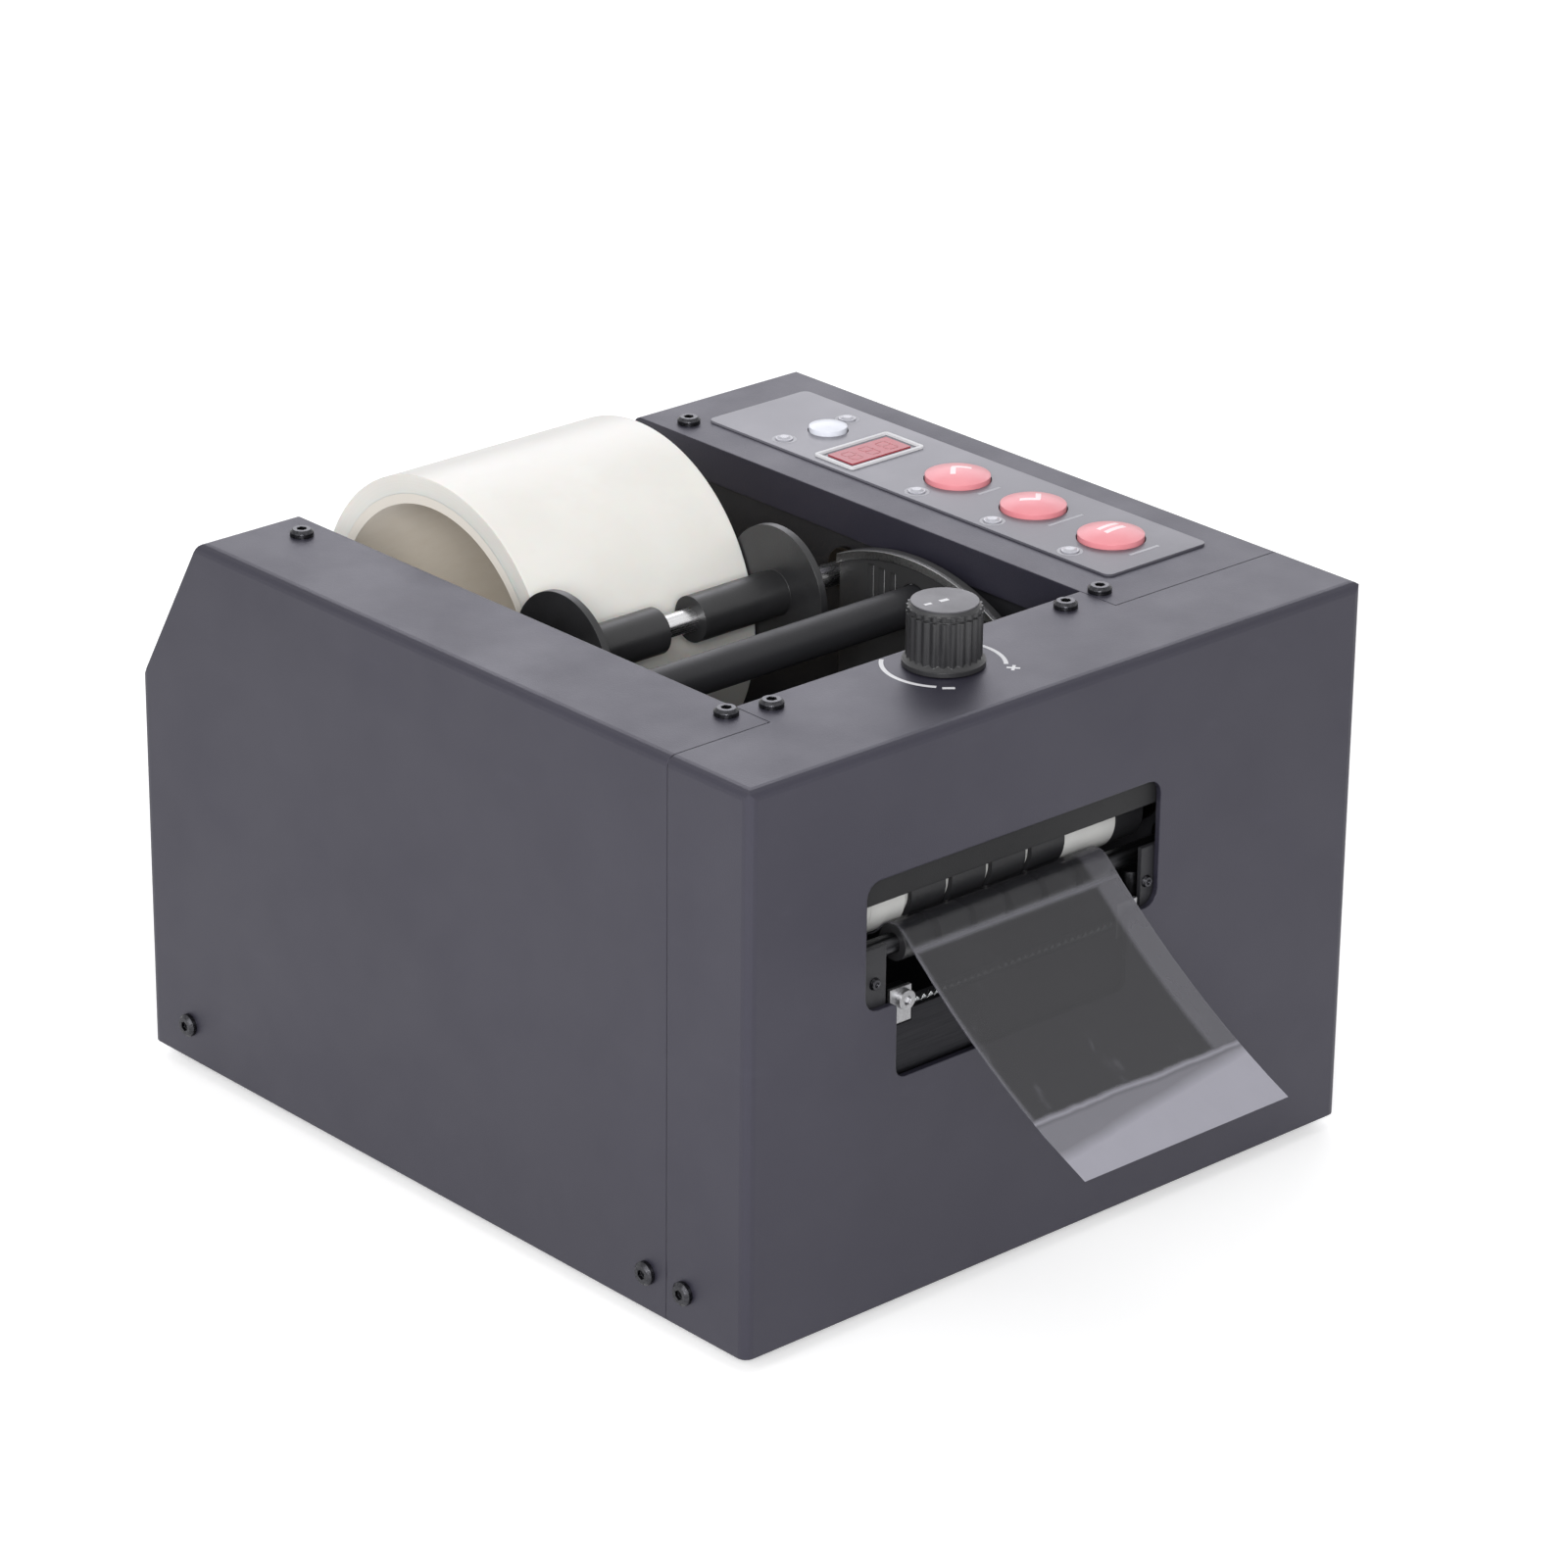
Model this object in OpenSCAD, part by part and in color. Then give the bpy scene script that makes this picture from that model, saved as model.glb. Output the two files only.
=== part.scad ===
// Electric tape dispenser with a motor feed and a rising cutter, in mm, Z up, front toward -Y.

/* [Casing] */
// Casing width, left to right
case_w = 200; // [180:1:220]
// Casing length, front to back
case_l = 230; // [210:1:255]
// Casing height without the feet
case_h = 144; // [130:1:160]
// Sheet thickness of the covers
sheet_t = 1.5; // [1.2:0.1:1.6]
// Outer bend radius of the covers
bend_r = 2.5; // [2:0.1:3]
// Bend radius at the foot of the rear slope
knee_r = 8; // [4:0.5:10]
// Height of the rubber feet
foot_h = 4; // [3:0.5:6]

/* [Tape] */
// Tape width
tape_w = 67; // [50:1:67]
// Depth of tape wound on the core
wound_t = 4.9; // [3:0.1:6]
// Bore of the cardboard core
core_d = 76; // [72:0.5:80]
// Thickness the tape web is drawn with
web_t = 0.3; // [0.2:0.05:0.3]

/* [Feed] */
// Radius of the feed roller sleeve
feed_r = 9.5; // [9:0.1:9.8]
// Radius of the nip rings
ring_r = 4.5; // [4:0.1:4.6]
// Number of nip rings
ring_n = 6; // [4:1:7]

/* [Cutter] */
// Height of the cutter blade
blade_h = 14; // [12:0.5:14]
// Thickness of the cutter blade
blade_t = 0.8; // [0.6:0.1:0.8]

/* [Controls] */
// Radius of the red buttons
button_r = 8.4; // [7:0.2:8.8]
// Radius of the speed knob
knob_r = 9.1; // [8:0.1:10]
// Height of the speed knob above the deck
knob_h = 16; // [12:0.5:18]
// Number of flutes round the knob
flute_n = 24; // [12:2:30]

/* [Hidden] */
$fn = 48;
case_c = "#3c3b41";
steel_c = "#c3c5c8";
black_c = "#1b1b1d";
bronze_c = "#b08d4f";
red_c = "#e0405a";
// Running fit, press fit and the clearance between parts that stay apart
run = 0.05;
press = 0.02;
air = 0.3;
// Casing lines
xh = case_w / 2;
yf = -case_l / 2;
yr = case_l / 2;
// Shifts that tie pieces to the left side, the right side and the top
dl = 100 - xh;
dr = xh - 100;
zq = case_h - 144;
core_r = core_d / 2;
core_t = 2.5;
roll_r = core_r + core_t + wound_t;
zb = 4;
zt = zb + case_h;
// Base plate, its upturned edges and the level that inner parts stand on
base_t = 2;
rim_o = sheet_t + air;
rim_t = 1.5;
rim_h = 18;
floor_z = zb + base_t;
seam_y = yf + 28;
bay_x0 = -69 + dl;
bay_x1 = 43 + dr;
bay_y0 = yf + 40;
ch_y = 25.5;
ch_z = 44.3;
// Inner frame plates
lf1 = bay_x0 - 2.5;
lf0 = lf1 - 2;
rf0 = bay_x1 + 2.5;
rf1 = rf0 + 2;
// Tape roll and the rollers under it
tape_cx = (bay_x0 + bay_x1) / 2 - 0.5;
tx0 = tape_cx - tape_w / 2;
tx1 = tape_cx + tape_w / 2;
roll_c = [yr - 52.5, 114 + zq];
sup_r = 8;
thin_r = 3;
feed_sr = 4;
ring_sr = 2.5;
motor_sr = 2.5;
s1_c = roll_c + (roll_r + 2 * air + web_t + sup_r) * [-sin(35), -cos(35)];
s2_c = roll_c + (roll_r + air + sup_r) * [sin(35), -cos(35)];
spool_c = [roll_c.x - roll_r - 6.6, 128 + zq];
bar_c = [-22, 130 + zq];
bar_r = 5;
guard_c = [-22, 78 + zq];
guard_r = 64;
// Feed, nip and drive
feed_c = [yf + 21, 101 + zq];
nip_a = 215;
film = air + web_t / 2;
ring_c = feed_c + (feed_r + ring_r + 2 * film) * [cos(nip_a), sin(nip_a)];
mesh_a = -20;
gear_n = 32;
pin_n = 18;
motor_c = feed_c + (gear_n + pin_n) / 2 * [cos(mesh_a), sin(mesh_a)];
// Cutter
cut_y = yf + 9;
post_r = 3;
cut_x = [bay_x0 + 11, bay_x1 - 11];
cz0 = 60 + zq;
// Places of screws and controls
top_screws = [[-76.5 + dl, yr - 37.3], [50 + dr, yr - 38], [-62 + dl, yf + 35], [33 + dr, yf + 35],
  [-73.3 + dl, yf + 38], [46.5 + dr, yf + 37]];
side_screws = [yr - 16, yf + 35, yf + 21.5];
screw_z = zb + 9.6;
screw_hole = 1.6;
head_r = 3;
head_h = 1.8;
btn_x = 73.2 + dr;
btn_y = [0, -27.5, -55];
wbtn = [72.7 + dr, 48.2];
wbtn_r = 5;
// Top of the control board, and of the push switches on it
board_z = zt - 13;
sw_top = zt - 9.5;
lamps = [[59 + dr, 0], [59 + dr, -27.5], [59 + dr, -55], [59.5 + dr, 50.5], [82 + dr, 51]];
knob_p = [tape_cx - 0.5, yf + 28];
pot_sr = 3;
pot_neck = 4.2;
in_p = [72 + dr, 30];
in_w = 26.8;
in_h = 19.8;
sw_p = [72 + dr, 62];
sw_w = 14;
sw_h = 22;

// Points of an arc
function arc(c, r, a0, a1, n) = [for (i = [0:n]) let (a = a0 + (a1 - a0) * i / n) c + r * [cos(a), sin(a)]];
function rrect(x0, y0, x1, y1, r, n = 5) = concat(arc([x1 - r, y0 + r], r, -90, 0, n),
  arc([x1 - r, y1 - r], r, 0, 90, n), arc([x0 + r, y1 - r], r, 90, 180, n),
  arc([x0 + r, y0 + r], r, 180, 270, n));
function around(c, w, h, r) = rrect(c.x - w, c.y - h, c.x + w, c.y + h, r);
// Corner of a polygon rounded to radius r
function unit(v) = v / norm(v);
function bend(a, b, c, r, n) = r <= 0 ? [b] :
  let (u = unit(a - b), v = unit(c - b), h = acos(u * v) / 2, m = b + unit(u + v) * r / sin(h),
    s = b + u * r / tan(h) - m, e = b + v * r / tan(h) - m, a0 = atan2(s.y, s.x),
    da = (atan2(e.y, e.x) - a0 + 540) % 360 - 180) arc(m, r, a0, a0 + da, n);
function fillet(p, r, n = 4) = [for (i = [0:len(p) - 1])
  each bend(p[(i + len(p) - 1) % len(p)], p[i], p[(i + 1) % len(p)], r[i], n)];
// Side view of the casing, drawn in by o
function side_view(o, r) = let (nn = unit([ch_z, ch_y])) fillet([[yf + o, -20], [yr - o, -20],
  [yr - o, zt - ch_z - o * (1 - nn.x) / nn.y], [yr - ch_y - o * (1 - nn.y) / nn.x, zt - o], [yf + o, zt - o]],
  [0, 0, max(knee_r - o, 1), r, r]);
// Gear outline: z teeth of module 1 with a tooth at angle a
function inv(t) = tan(t) * 180 / PI - t;
function half_a(z, r) = let (rb = z / 2 * cos(20)) (PI / 2 - 0.3) / z * 180 / PI + inv(20)
  - (r <= rb ? 0 : inv(acos(rb / r)));
function gear_pts(z, a) = let (rs = [z / 2 - 1.25, z / 2 * cos(20) + 0.05, z / 2 + 0.2, z / 2 + 1])
  [for (k = [0:z - 1]) let (m = a + k * 360 / z) each concat(
    [for (r = rs) let (t = m - half_a(z, r)) r * [cos(t), sin(t)]],
    [for (i = [3:-1:0]) let (t = m + half_a(z, rs[i])) rs[i] * [cos(t), sin(t)]])];

// Shape helpers: extrusions along X and Y, cylinders along X and Y, a box by its corners
module lift() translate([0, 0, foot_h - zb]) children();
module px(x0, x1) translate([x0, 0, 0]) rotate([90, 0, 90]) linear_extrude(x1 - x0) children();
module py(y0, y1) translate([0, y1, 0]) rotate([90, 0, 0]) linear_extrude(y1 - y0) children();
module cx(x0, x1, c, r) translate([x0, c.x, c.y]) rotate([0, 90, 0]) cylinder(h = x1 - x0, r = r);
module cy(y0, y1, c, r) translate([c.x, y0, c.y]) rotate([-90, 0, 0]) cylinder(h = y1 - y0, r = r);
module cz(z0, z1, c, r) translate([c.x, c.y, z0]) cylinder(h = z1 - z0, r = r);
module bx(a, b) translate(a) cube(b - a);
module slab(c, h, z0, z1) bx([c.x - h.x, c.y - h.y, z0], [c.x + h.x, c.y + h.y, z1]);

// Casing
slot_x0 = tape_cx - 50;
slot_x1 = tape_cx + 45.5;
slot_in = 10;
slot_z0 = cz0 + 2.3;
slot_z1 = cz0 + 22;
slot_z2 = cz0 + 55;
module envelope(o) {
  r = max(bend_r - o, 0.6);
  intersection() {
    translate([0, 0, o > 0 ? zb - 2 : zb]) linear_extrude(case_h + 60)
      polygon(rrect(-xh + o, yf + o, xh - o, yr - o, r, 4));
    px(-150, 150) polygon(side_view(o, r));
    py(-160, 160) polygon(rrect(-xh + o, -20, xh - o, zt - o, r, 4));
  }
}
module shell() difference() {
  envelope(0);
  envelope(sheet_t);
  bx([-xh + sheet_t - 0.2, yr - sheet_t - 0.1, 0], [xh - sheet_t + 0.2, yr + 1, zt - ch_z - 0.2]);
  top_holes();
  side_holes();
}
module top_holes() for (p = top_screws) cz(zt - 6, zt + 1, p, screw_hole);
module side_holes() for (s = [-1, 1]) for (y = side_screws)
  cx(s < 0 ? -xh - 1 : xh - 6, s < 0 ? -xh + 6 : xh + 1, [y, screw_z], screw_hole);
module bay_lip(x0) intersection() {
  difference() {
    px(x0, x0 + sheet_t) polygon(side_view(0.4, 2));
    px(x0 - 1, x0 + sheet_t + 1) polygon(side_view(10, 1));
  }
  bx([x0, bay_y0 + 0.5, zt - ch_z + 4], [x0 + sheet_t, yr, zt]);
}
module left_cover() lift() color(case_c) {
  intersection() {
    shell();
    bx([-300, seam_y, zb], [bay_x0, 300, 300]);
  }
  bay_lip(bay_x0 - sheet_t);
}
module right_cover() lift() color(case_c) {
  difference() {
    intersection() {
      shell();
      bx([bay_x1, seam_y, zb], [300, 300, 300]);
    }
    for (y = btn_y) cz(zt - 4, zt + 1, [btn_x, y], button_r + air);
    cz(zt - 4, zt + 1, wbtn, wbtn_r + air);
  }
  bay_lip(bay_x1);
}
module front_cover() lift() color(case_c) {
  difference() {
    intersection() {
      shell();
      union() {
        bx([-300, -300, zb], [300, seam_y - 0.2, 300]);
        bx([bay_x0 + 0.2, -300, zt - 3], [bay_x1 - 0.2, bay_y0, 300]);
      }
    }
    py(yf - 5, yf + 8) polygon(fillet([[slot_x0, slot_z1], [slot_x0 + slot_in, slot_z1],
      [slot_x0 + slot_in, slot_z0], [slot_x1 - slot_in, slot_z0], [slot_x1 - slot_in, slot_z1],
      [slot_x1, slot_z1], [slot_x1, slot_z2], [slot_x0, slot_z2]], [4, 1.5, 3, 3, 1.5, 4, 4, 4]));
    cz(zt - 5, zt + 1, knob_p, pot_neck + 0.1);
  }
  bx([bay_x0 + 2, bay_y0 - sheet_t, zt - 10], [bay_x1 - 2, bay_y0, zt - 0.4]);
}
module screw_head(r, h) difference() {
  union() {
    cylinder(h = h * 0.6, r = r);
    translate([0, 0, h * 0.6]) cylinder(h = h * 0.4, r1 = r, r2 = r * 0.75);
    translate([0, 0, -4]) cylinder(h = 4.1, r = screw_hole - 0.1);
  }
  translate([0, 0, h * 0.45]) cylinder(h = h, r = r * 0.45, $fn = 6);
}
module cover_screws() lift() color(black_c) {
  for (p = top_screws) translate([p.x, p.y, zt]) screw_head(head_r, head_h);
  for (s = [-1, 1]) for (y = side_screws)
    translate([s * xh, y, screw_z]) rotate([0, s * 90, 0]) screw_head(head_r, head_h);
}
module base_plate() lift() color(case_c) difference() {
  union() {
    bx([-xh + rim_o, yf + rim_o, zb], [xh - rim_o, yr - 0.2, floor_z]);
    for (x = [-xh + rim_o, xh - rim_o - rim_t])
      bx([x, yf + rim_o, zb], [x + rim_t, yr - 2, zb + rim_h]);
    bx([-xh + rim_o, yf + rim_o, zb], [xh - rim_o, yf + rim_o + rim_t, zb + rim_h]);
    intersection() {
      envelope(0);
      bx([-xh + sheet_t, yr - sheet_t, zb], [xh - sheet_t, yr, zt - ch_z - 0.4]);
    }
  }
  side_holes();
  py(yr - 5, yr + 5) polygon(around(in_p, in_w / 2 + 0.2, in_h / 2 + 0.2, 2));
  py(yr - 5, yr + 5) polygon(around(sw_p, sw_w / 2 + 0.1, sw_h / 2 + 0.1, 1));
}
foot_r = 9;
module rubber_feet() lift() color("#151515") for (x = [20 - xh, xh - 20]) for (y = [yf + 23, yr - 23]) {
  translate([x, y, zb - foot_h]) cylinder(h = 1, r1 = foot_r - 0.8, r2 = foot_r);
  translate([x, y, zb - foot_h + 1]) cylinder(h = foot_h - 1, r = foot_r);
}

// Inner frame
shafts = [[spool_c, thin_r], [s1_c, thin_r], [s2_c, thin_r], [feed_c, feed_sr], [ring_c, ring_sr]];
bush_t = 2;
bush_f = 1.5;
foot_w = 10.5;
foot_t = 1.5;
frame_in = 7;
frame_top = zt - 5;
module frame_view() polygon(fillet([[yf + frame_in, floor_z], [yr - frame_in, floor_z],
  [yr - frame_in, zt - ch_z + 1.1], [yr - ch_y - 3.5, frame_top], [yf + 3, frame_top],
  [yf + 3, zb + rim_h + 8], [yf + frame_in, zb + rim_h + 4]], [0, 3, 3, 3, 3, 0, 0]));
module left_frame() lift() color(case_c) difference() {
  union() {
    px(lf0, lf1) frame_view();
    bx([lf1 - 0.1, yf + 30, floor_z], [lf1 + foot_w, yr - 15, floor_z + foot_t]);
  }
  for (s = shafts) cx(lf0 - 1, lf1 + 1, s[0], s[1] + bush_t + press);
}
module right_frame() lift() color(case_c) difference() {
  union() {
    px(rf0, rf1) frame_view();
    bx([rf0 - foot_w, yf + 30, floor_z], [rf0 + 0.1, yr - 15, floor_z + foot_t]);
  }
  for (s = shafts) cx(rf0 - 1, rf1 + 1, s[0], s[1] + bush_t + press);
}
module left_bushes() lift() color(bronze_c) for (s = shafts) difference() {
  union() {
    cx(lf0, lf1 + 0.1, s[0], s[1] + bush_t);
    cx(lf1, lf1 + bush_f, s[0], s[1] + bush_t + 1);
  }
  cx(lf0 - 1, lf1 + 3, s[0], s[1] + run);
}
module right_bushes() lift() color(bronze_c) for (s = shafts) difference() {
  union() {
    cx(rf0 - 0.1, rf1, s[0], s[1] + bush_t);
    cx(rf0 - bush_f, rf0, s[0], s[1] + bush_t + 1);
  }
  cx(rf0 - 3, rf1 + 1, s[0], s[1] + run);
}
module guide_bar() lift() color(black_c) cx(lf1, rf0, bar_c, bar_r);
module slot_guard() lift() color(black_c) bx([lf1, yf + 2, slot_z2 - 7], [rf0, yf + 7, slot_z2]);
gx = rf0 - 7.5;
guard_y0 = feed_c.x + feed_r + 2;
guard_y1 = spool_c.x - 5;
module guard_slots() for (i = [0:8]) if (i < 3 || i > 5)
  bx([gx - 3, guard_c.x - 17 + 4 * i, guard_c.y + 44], [gx + 3, guard_c.x - 14.8 + 4 * i, guard_c.y + 58]);
module guard_zone() bx([gx - 3, guard_y0, guard_c.y + 18], [gx + 3, guard_y1, guard_c.y + guard_r + 8]);
module gear_guard() lift() color("#55524e") {
  difference() {
    intersection() {
      cx(gx, gx + 2, guard_c, guard_r, $fn = 120);
      guard_zone();
    }
    cx(gx - 1, gx + 3, bar_c, bar_r + air);
    guard_slots();
  }
  for (y = [guard_y0 + 24, guard_y1 - 8]) cx(gx + 1.9, rf0, [y, guard_c.y + 26], 4);
}
module guard_rim() lift() color(steel_c) difference() {
  intersection() {
    cx(gx - 1.2, gx, guard_c, guard_r, $fn = 120);
    guard_zone();
  }
  cx(gx - 3, gx + 3, guard_c, guard_r - 2.2, $fn = 120);
}

// Tape roll, web and the rollers under the roll
module tape_core() lift() color("#b99c74") difference() {
  cx(tx0, tx1, roll_c, core_r + core_t, $fn = 96);
  cx(tx0 - 1, tx1 + 1, roll_c, core_r, $fn = 96);
}
module tape_winding() lift() color("#e8e4da") difference() {
  cx(tx0, tx1, roll_c, roll_r, $fn = 96);
  cx(tx0 - 1, tx1 + 1, roll_c, core_r + core_t, $fn = 96);
}
// The web runs over the front support roller, under the feed roller, over the nip rings and out
r1 = sup_r + film;
r2 = feed_r + film;
r3 = ring_r + film;
d12 = feed_c - s1_c;
n12 = atan2(d12.y, d12.x) - acos((r1 + r2) / norm(d12));
out_a = 133;
tongue_r = 225;
tongue_c = ring_c + (r3 + tongue_r) * [cos(out_a), sin(out_a)];
function web_side(h) = concat(arc(s1_c, r1 + h, 55, n12, 6), arc(feed_c, r2 - h, n12 + 180, nip_a, 8),
  arc(ring_c, r3 + h, nip_a - 180, out_a, 10), [for (i = [1:10]) let (a = out_a + 180 - 19 * i / 10)
    tongue_c + (tongue_r - h) * [cos(a), sin(a)]]);
module tape_web() lift() color("#d9dadb") px(tx0, tx1)
  polygon(concat(web_side(web_t / 2), [for (i = [34:-1:0]) web_side(-web_t / 2)[i]]));
// Retaining rings outside the frame plates, and how far a shaft stands past the plates
clip_g = 0.6;
clip_t = 1;
clip_h = 1.5;
end_l = 2.5;
module left_ring(c, r) cx(lf0 - clip_g - clip_t, lf0 - clip_g, c, r + clip_h);
module ring_pair(c, r) {
  left_ring(c, r);
  cx(rf1 + clip_g, rf1 + clip_g + clip_t, c, r + clip_h);
}
module support_roller(c) {
  cx(lf0 - end_l, rf1 + end_l, c, thin_r);
  cx(bay_x0 + 9, bay_x1 - 9, c, sup_r);
  ring_pair(c, thin_r);
}
module front_support_roller() lift() color("#2a2a2c") support_roller(s1_c);
module rear_support_roller() lift() color("#2a2a2c") support_roller(s2_c);
module spool_shaft() lift() color(steel_c) {
  cx(lf0 - end_l, rf1 + end_l, spool_c, thin_r);
  ring_pair(spool_c, thin_r);
}
hub_r = 17.5;
hub_neck = 6;
module left_spool_hub() lift() color(black_c) difference() {
  union() {
    cx(tx0 - 2.5, tx0 - 0.5, spool_c, hub_r, $fn = 72);
    cx(tx0 - 1, tape_cx - 5.5, spool_c, hub_neck);
    cx(tx0 - 6.5, tx0 - 2.4, spool_c, hub_neck);
  }
  cx(lf0 - 9, rf1 + 9, spool_c, thin_r + press);
}
module right_spool_hub() lift() color(black_c) difference() {
  union() {
    cx(tx1 + 0.5, tx1 + 2.5, spool_c, hub_r, $fn = 72);
    cx(tape_cx + 6, tx1 + 1, spool_c, hub_neck);
    cx(tx1 + 2.4, tx1 + 6.5, spool_c, hub_neck);
  }
  cx(lf0 - 9, rf1 + 9, spool_c, thin_r + press);
}

// Feed rollers and drive
gear_x = rf1 + 1.5;
gear_t = 6;
module feed_shaft() lift() color(steel_c) {
  cx(lf0 - end_l, gear_x + gear_t + 0.8, feed_c, feed_sr);
  left_ring(feed_c, feed_sr);
}
// Grey sleeve with a waist that carries the black grip rings
grip_x0 = tape_cx - 38;
grip_w = 11;
grip_gap = 2;
grip_t = 1.4;
grip_n = 5;
grip_x1 = grip_x0 + grip_n * (grip_w + grip_gap) - grip_gap;
module feed_sleeve() lift() color("#8f9295") difference() {
  union() {
    cx(bay_x0 + 5, grip_x0 - 0.05, feed_c, feed_r);
    cx(grip_x0 - 1, grip_x1 + 1, feed_c, feed_r - grip_t);
    cx(grip_x1 + 0.05, bay_x1 - 5, feed_c, feed_r);
  }
  cx(lf0 - 9, rf1 + 9, feed_c, feed_sr + press);
}
module feed_grips() lift() color(black_c) for (i = [0:grip_n - 1]) difference() {
  x = grip_x0 + i * (grip_w + grip_gap);
  cx(x, x + grip_w, feed_c, feed_r);
  cx(lf0 - 9, rf1 + 9, feed_c, feed_r - grip_t + press);
}
module feed_gear() lift() color("#d8d2c0") difference() {
  px(gear_x, gear_x + gear_t) translate(feed_c) polygon(gear_pts(gear_n, mesh_a));
  cx(rf0, rf1 + 12, feed_c, feed_sr + press);
}
module ring_shaft() lift() color(steel_c) {
  cx(lf0 - end_l, rf1 + 0.7, ring_c, ring_sr);
  left_ring(ring_c, ring_sr);
}
ring_gap = 2.6;
ring_w = (tape_w - ring_gap * (ring_n - 1)) / ring_n;
module nip_rings() lift() color(black_c) for (i = [0:ring_n - 1]) difference() {
  x = tx0 + i * (ring_w + ring_gap);
  cx(x, x + ring_w, ring_c, ring_r);
  cx(lf0 - 9, rf1 + 9, ring_c, ring_sr + press);
}
module drive_pinion() lift() color("#c9b36a") {
  px(gear_x + 0.2, gear_x + gear_t - 0.2) translate(motor_c)
    polygon(gear_pts(pin_n, mesh_a + 180 + 180 / pin_n));
  cx(gear_x - 0.4, motor_x + 7, motor_c, motor_sr);
}
posts = [[20, 14], [20, -14], [-14, -22]];
plate_t = 2;
plate_x = gear_x + gear_t + 3;
motor_x = plate_x + plate_t;
motor_l = 36;
motor_r = 16;
module motor_bracket() lift() color(steel_c) {
  difference() {
    px(plate_x, motor_x) polygon(rrect(motor_c.x - 20, motor_c.y - 28, motor_c.x + 26, motor_c.y + 20, 4));
    cx(plate_x - 1, motor_x + 1, motor_c, motor_sr + 1.5);
  }
  for (p = posts) cx(rf1, plate_x + 0.1, motor_c + p, 4);
}
module drive_motor() lift() color("#9a9ca0") difference() {
  union() {
    cx(motor_x, motor_x + motor_l, motor_c, motor_r);
    cx(motor_x + motor_l - 0.5, motor_x + motor_l + 1.5, motor_c, 5);
  }
  cx(plate_x + 1, motor_x + 8, motor_c, motor_sr + run);
}

// Cutter
blade_y = yf + 3.6;
clamp_y = blade_y - blade_t - 1;
teeth = 35;
tooth_h = 1.3;
blade_w = 77;
blade_z = cz0 + 6;
bl0 = tape_cx - blade_w / 2;
bl1 = tape_cx + blade_w / 2;
module cutter_blade() lift() color(steel_c) py(blade_y - blade_t, blade_y) polygon(concat([[bl0, blade_z],
  [bl1, blade_z]], [for (i = [2 * teeth:-1:0]) [bl0 + blade_w * i / (2 * teeth),
  blade_z + blade_h - (i % 2 == 0 ? tooth_h : 0)]]));
// Clamps that hold the blade's ends against lugs on the carriage
cl_w = 6.7;
cl_over = 2;
cl_x = [bl0 - cl_over, bl1 + cl_over - cl_w];
cl_s = [cl_x[0] + 4.2, cl_x[1] + 3.4];
cl_z = blade_z + blade_h + 1.5;
cl_z0 = cl_z - 6;
cl_z1 = cl_z + 3.1;
cl_r = 1.2;
lug_t = 2.3;
wall_t = 0.95;
module blade_carriage() lift() color("#3a3a3e") difference() {
  union() {
    bx([bay_x0 + 5, blade_y, cz0], [bay_x1 - 5, yf + 14, cz0 + 14]);
    bx([tape_cx - 10.5, yf + 13.9, cz0], [tape_cx + 10.5, yf + 19.5, cz0 + 6]);
    bx([bl0 - 1.2, clamp_y, cz0], [bl1 + 1.2, blade_y + 0.1, blade_z - 0.1]);
    bx([bl0 - 1.2, clamp_y, cz0], [bl1 + 1.2, clamp_y + wall_t, cl_z0 - air]);
    bx([cl_x[0] + cl_w + air, clamp_y, cz0], [cl_x[1] - air, clamp_y + wall_t, cz0 + blade_h + 4.4]);
    for (x = cl_x) bx([x, blade_y, cz0 + 13.9], [x + cl_w, blade_y + lug_t, cl_z1 - 0.6]);
  }
  for (x = cut_x) cz(cz0 - 10, cz0 + 20, [x, cut_y], post_r + run);
  for (x = cl_s) cy(blade_y - 1, blade_y + lug_t + 1, [x, cl_z], cl_r + press);
}
module blade_clamps() lift() color(steel_c) difference() {
  for (x = cl_x) bx([x, clamp_y, cl_z0], [x + cl_w, clamp_y + 1, cl_z1]);
  cy(clamp_y - 1, clamp_y + 2, [cl_s[0], cl_z], cl_r + run);
  cy(clamp_y - 1, clamp_y + 2, [cl_s[1], cl_z], cl_r + air + run);
}
// The left screw has a socket head, the right one sits flush
module clamp_screws() lift() color(steel_c) {
  for (x = cl_s) cy(clamp_y + 0.9, blade_y + lug_t, [x, cl_z], cl_r);
  cy(clamp_y + 0.1, clamp_y + 1, [cl_s[1], cl_z], cl_r + air);
  difference() {
    union() {
      cy(clamp_y - 1.5, clamp_y, [cl_s[0], cl_z], 2.5);
      cy(clamp_y - 0.1, clamp_y + 1, [cl_s[0], cl_z], cl_r);
    }
    translate([cl_s[0], clamp_y - 2, cl_z]) rotate([-90, 0, 0]) cylinder(h = 1.4, r = 1.25, $fn = 6);
  }
}
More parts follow.
